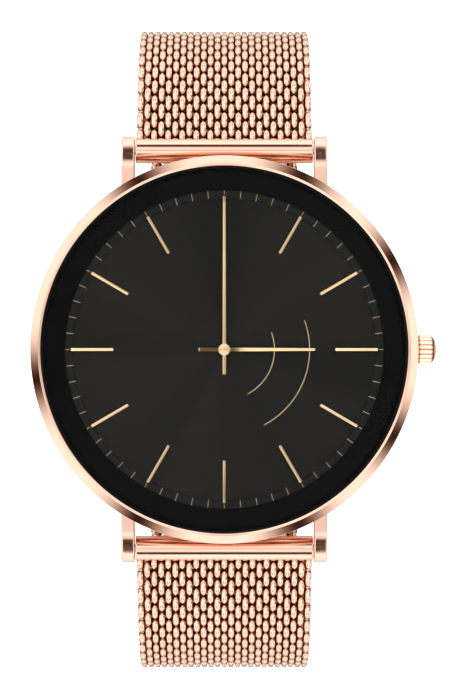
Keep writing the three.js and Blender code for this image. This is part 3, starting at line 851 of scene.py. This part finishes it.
def box_outline(start, end, bottom, top):
    return [(start, bottom), (end, bottom), (end, top), (start, top)]


def pin_along(name, node, radius, fillet, segments, y, z):
    """A plain round pin along X, as long as its CAD node."""
    start, end = low(node).x, high(node).x
    return turned_to_x(revolved(name, filleted([
        (0, start), (radius, start), (radius, end), (0, end),
    ], fillet, closed=False), segments, closed=False), y, z)


def build_clasp():
    gold = LOOKS["case_gold"]
    flat = CLASP.z
    hinge = tube("clasp_end_tube", CLASP.z - low("clasp_tube").z, 0.55, STRAP_HALF, CLASP.y, flat)
    settle(hinge, "strap_12_d", "case_gold", gold, "clasp_tube")
    pin = pin_along("clasp_hinge_pin", "clasp_pin", 0.5, 0.08, 40, CLASP.y, flat)
    settle(pin, "strap_12_d", "case_gold", gold, "clasp_pin")
    half, front, under = high("clasp_cover").x, low("clasp_cover").y, flat - 1.6
    y = CLASP.y
    cheek = [
        (front + 0.1, under - 0.7), (0.6, under - 0.7), (y - 0.3, flat - 1.45), (y + 0.5, flat - 1.25),
        (y + 1.1, flat - 0.7), (y + 1.3, flat), (y + 1.1, flat + 0.7), (y + 0.7, flat + 1.1),
        (y, flat + 1.28), (y - 0.7, flat + 1.1), (y - 1.7, flat + 0.72), (y - 3, flat + 0.4),
        (front + 1.5, flat + 0.1), (front + 0.5, flat - 0.1), (front, flat - 0.5), (front, under - 0.6),
    ]
    parts = [
        extruded("cheek_right", cheek, half - 1.0, half), extruded("cheek_left", cheek, -half, -half + 1.0),
        extruded("plate", box_outline(front, 0.5, under - 0.7, under), -half + 0.5, half - 0.5),
    ]
    cover = bevelled(joined("clasp_fold_cover", parts), 0.14, 4)
    settle(cover, "cover", "case_gold", gold, "clasp_cover")
    lows, highs = low("slider_frame"), high("slider_frame")
    under, over = flat - 1.4, flat + 1.4
    hand, inner = highs.x, 9.05
    parts = [
        extruded("floor", box_outline(lows.y, highs.y, under, flat - 0.8), -hand, hand),
        extruded("roof", box_outline(lows.y, highs.y, flat + 0.8, over), -hand, hand),
        extruded("wall_right", box_outline(lows.y, highs.y, under, over), inner, hand),
        extruded("wall_left", box_outline(lows.y, highs.y, under, over), -hand, -inner),
    ]
    for name, start, end in (("ear_right", 8.8, hand), ("ear_left", -hand, -8.8)):
        parts.append(extruded(name, [
            (lows.y, under + 0.1), (lows.y, lows.z + 0.2), (lows.y + 0.2, lows.z), (lows.y + 1.1, lows.z),
            (lows.y + 1.3, lows.z + 0.2), (lows.y + 1.3, under + 0.1),
        ], start, end))
    slider = bevelled(joined("slider_box", parts), 0.12, 4)
    settle(slider, "slider", "case_gold", gold, "slider_frame")
    at = middle("lever_pin")
    pin = pin_along("lever_hinge_pin", "lever_pin", 0.28, 0.06, 32, at.y, at.z)
    settle(pin, "slider", "case_gold", gold, "lever_pin")
    front = high("lock_lever").y
    flap = extruded("lock_flap", [
        (at.y - 0.3, at.z - 0.16), (at.y - 0.18, at.z - 0.3), (at.y, at.z - 0.36), (front - 0.1, at.z - 0.36),
        (front, at.z - 0.26), (front, at.z + 0.1), (front - 0.08, at.z + 0.2), (front - 0.6, at.z + 0.31),
        (at.y, at.z + 0.34), (at.y - 0.18, at.z + 0.3), (at.y - 0.3, at.z + 0.16),
    ], low("lock_lever").x, high("lock_lever").x)
    settle(bevelled(flap, 0.08), "lever", "case_gold", gold, "lock_lever")


# ------------------------------------------------------- carried-over CAD pieces


def dress_cad():
    """Every CAD piece still shown gets its material, welded seams and small edge rounds."""
    for subpart in frame["record"]["subparts"]:
        obj = frame["nodes"].get(subpart["node"])
        if obj is None or obj.hide_render:
            continue
        obj.data.materials.clear()
        obj.data.materials.append(LOOKS[subpart["material_slot"]])
        weld = obj.modifiers.new("weld", "WELD")
        weld.merge_threshold = 0.002 * MM
        bevelled(obj, 0.02, 2, 30)
        obj.data.shade_smooth()


# ----------------------------------------------------------------- floor and light

FLOOR_DEPTH = 80.0
FLOOR_RADIUS = 2500.0


def build_floor():
    data = bpy.data.meshes.new("floor")
    shape = bmesh.new()
    bmesh.ops.create_circle(shape, cap_ends=True, radius=FLOOR_RADIUS * MM, segments=64)
    shape.to_mesh(data)
    shape.free()
    floor = bpy.data.objects.new("floor", data)
    floor.location.z = -FLOOR_DEPTH * MM
    bpy.context.scene.collection.objects.link(floor)
    look = Look("lit white floor", 0.0, Roughness=0.9)
    look.colour(look.ramp(look.noise(3, 2), (0.3, (0.9, 0.9, 0.9)), (0.7, (0.92, 0.92, 0.92))))
    look.shader.inputs["Emission Color"].default_value = (1, 1, 1, 1)
    look.shader.inputs["Emission Strength"].default_value = 0.75
    data.materials.append(look.material)
    floor.visible_glossy = False


# Equal soft panels stand round the watch, with a soft dark gap at each of these bearings in degrees.
PANEL_GAPS = (28, 66, 117, 189, 243, 293, 333)
GAP_HALF = 18
PANEL_LIGHT = 1.6
GAP_LIGHT = 0.035
CEILING = 1.7
GROUND_NEAR = 1.5
LEFT_LEAN = -0.3
WARM_SHADE = (1.0, 0.62, 0.48)
GROUND_BELOW = 0.45
# The overhead light from straight up towards front and back: lean in degrees, share of the light.
OVERHEAD = ((0, 0.56), (18, 0.95), (28, 0.65), (35, 0.06), (49, 0.03), (60, 0.8), (66, 1.2))
# The same away from the middle, where there are no dark slots.
BESIDE = ((0, 0.56), (18, 0.96), (90, 1.0))
# The sideways lean over which the slots end, and over which the ceiling dims to its side share.
SLOT_EDGE = (3.8, 4.8)
CEILING_FALL = (30, 56)
SIDE_SHARE = 0.52
# Upward parts of a unit direction: where panels meet the ceiling, and where the ground meets panels.
PANEL_TOP = (0.26, 0.36)
HORIZON = (-0.06, -0.01)


class Sky:
    """The studio as a world: an overhead panel with two dark slots, standing panels and a ground."""

    def __init__(self):
        self.world = bpy.data.worlds.new("studio")
        self.world.use_nodes = True
        self.tree = self.world.node_tree
        self.tree.nodes.clear()
        bpy.context.scene.world = self.world

    def node(self, kind, **settings):
        made = self.tree.nodes.new(kind)
        for key, value in settings.items():
            setattr(made, key, value)
        return made

    def feed(self, socket, value):
        if isinstance(value, (int, float)):
            socket.default_value = value
        else:
            self.tree.links.new(value, socket)

    def math(self, operation, a, b=0.0, c=0.0):
        made = self.node("ShaderNodeMath", operation=operation)
        for socket, value in zip(made.inputs, (a, b, c)):
            self.feed(socket, value)
        return made.outputs[0]

    def step(self, value, start, end, low_value, high_value):
        made = self.node("ShaderNodeMapRange", interpolation_type="SMOOTHSTEP")
        self.feed(made.inputs["Value"], value)
        limits = {"From Min": start, "From Max": end, "To Min": low_value, "To Max": high_value}
        for key, number in limits.items():
            made.inputs[key].default_value = number
        return made.outputs["Result"]

    def ramp(self, factor, stops, blend="LINEAR"):
        made = self.node("ShaderNodeValToRGB")
        made.color_ramp.interpolation = blend
        elements = made.color_ramp.elements
        elements.remove(elements[1])
        for i, (at, share) in enumerate(stops):
            element = elements[0] if i == 0 else elements.new(at)
            element.position = at
            element.color = (share, share, share, 1)
        self.feed(made.inputs["Fac"], factor)
        return made.outputs["Color"]

    def mix(self, factor, a, b):
        first = self.math("MULTIPLY", a, self.math("SUBTRACT", 1.0, factor))
        return self.math("ADD", first, self.math("MULTIPLY", b, factor))


def build_light():
    sky = Sky()
    parts = sky.node("ShaderNodeSeparateXYZ")
    sky.tree.links.new(sky.node("ShaderNodeTexCoord").outputs["Generated"], parts.inputs[0])
    x, y, z = parts.outputs
    degrees = 180 / math.pi
    lean_y = sky.math("MULTIPLY", sky.math("ARCTAN2", sky.math("ABSOLUTE", y), z), degrees)
    lean_x = sky.math("MULTIPLY", sky.math("ARCTAN2", sky.math("ABSOLUTE", x), z), degrees)
    bearing = sky.math("FRACT", sky.math("MULTIPLY_ADD", sky.math("ARCTAN2", y, x), 1 / TAU, 1.0))
    ceiling = sky.step(lean_x, *CEILING_FALL, CEILING, CEILING * SIDE_SHARE)
    slats = sky.ramp(sky.math("DIVIDE", lean_y, 90.0), [(angle / 90, share) for angle, share in OVERHEAD])
    plain = sky.ramp(sky.math("DIVIDE", lean_y, 90.0), [(angle / 90, share) for angle, share in BESIDE])
    slats = sky.mix(sky.step(lean_x, *SLOT_EDGE, 0, 1), slats, plain)
    leaning = sky.math("MULTIPLY_ADD", x, LEFT_LEAN, 1.0)
    above = sky.math("MULTIPLY", sky.math("MULTIPLY", ceiling, slats), leaning)
    stops = []
    for gap in PANEL_GAPS:
        stops.append(((gap - GAP_HALF) / 360, 1.0))
        stops.append((gap / 360, GAP_LIGHT / PANEL_LIGHT))
        stops.append(((gap + GAP_HALF) / 360, 1.0))
    level = sky.math("MULTIPLY", sky.ramp(bearing, stops, "EASE"), PANEL_LIGHT)
    strength = sky.mix(sky.step(z, *PANEL_TOP, 0, 1), level, above)
    ground = sky.step(z, -0.95, -0.1, GROUND_BELOW, GROUND_NEAR)
    strength = sky.mix(sky.step(z, *HORIZON, 0, 1), ground, strength)
    seen = sky.node("ShaderNodeLightPath").outputs["Is Camera Ray"]
    strength = sky.mix(seen, strength, 1.0)
    light = sky.node("ShaderNodeBackground")
    warmth = sky.node("ShaderNodeValToRGB")
    warmth.color_ramp.elements[0].color = (*WARM_SHADE, 1)
    warmth.color_ramp.elements[1].position = 0.7
    sky.tree.links.new(strength, warmth.inputs["Fac"])
    sky.tree.links.new(warmth.outputs["Color"], light.inputs["Color"])
    sky.tree.links.new(strength, light.inputs["Strength"])
    sky.tree.links.new(light.outputs[0], sky.node("ShaderNodeOutputWorld").inputs[0])
    sky.world.cycles.sampling_method = "MANUAL"
    sky.world.cycles.sample_map_resolution = 1024


# -------------------------------------------------------------------------- camera

VIEW_HEIGHT = 251.0
SENSOR = 36.0
LENS = 128.3
# These put the watch at its place in the picture, as shares of the picture's longer side.
SHIFT_X = 0.0131
SHIFT_Y = -0.0007
NEAREST, FARTHEST = 0.01, 20


def build_camera():
    data = bpy.data.cameras.new("camera")
    data.sensor_width = SENSOR
    data.lens = LENS
    data.shift_x = SHIFT_X
    data.shift_y = SHIFT_Y
    data.clip_start = NEAREST
    data.clip_end = FARTHEST
    camera = bpy.data.objects.new("camera", data)
    camera.location = (0, 0, (BAR.z + VIEW_HEIGHT) * MM)
    bpy.context.scene.collection.objects.link(camera)
    bpy.context.scene.camera = camera
    bpy.context.scene.view_settings.view_transform = "Standard"


build_case()
build_glass()
build_dial()
build_indices()
build_hands()
build_crown()
build_straps()
build_clasp()
dress_cad()
build_floor()
build_light()
build_camera()
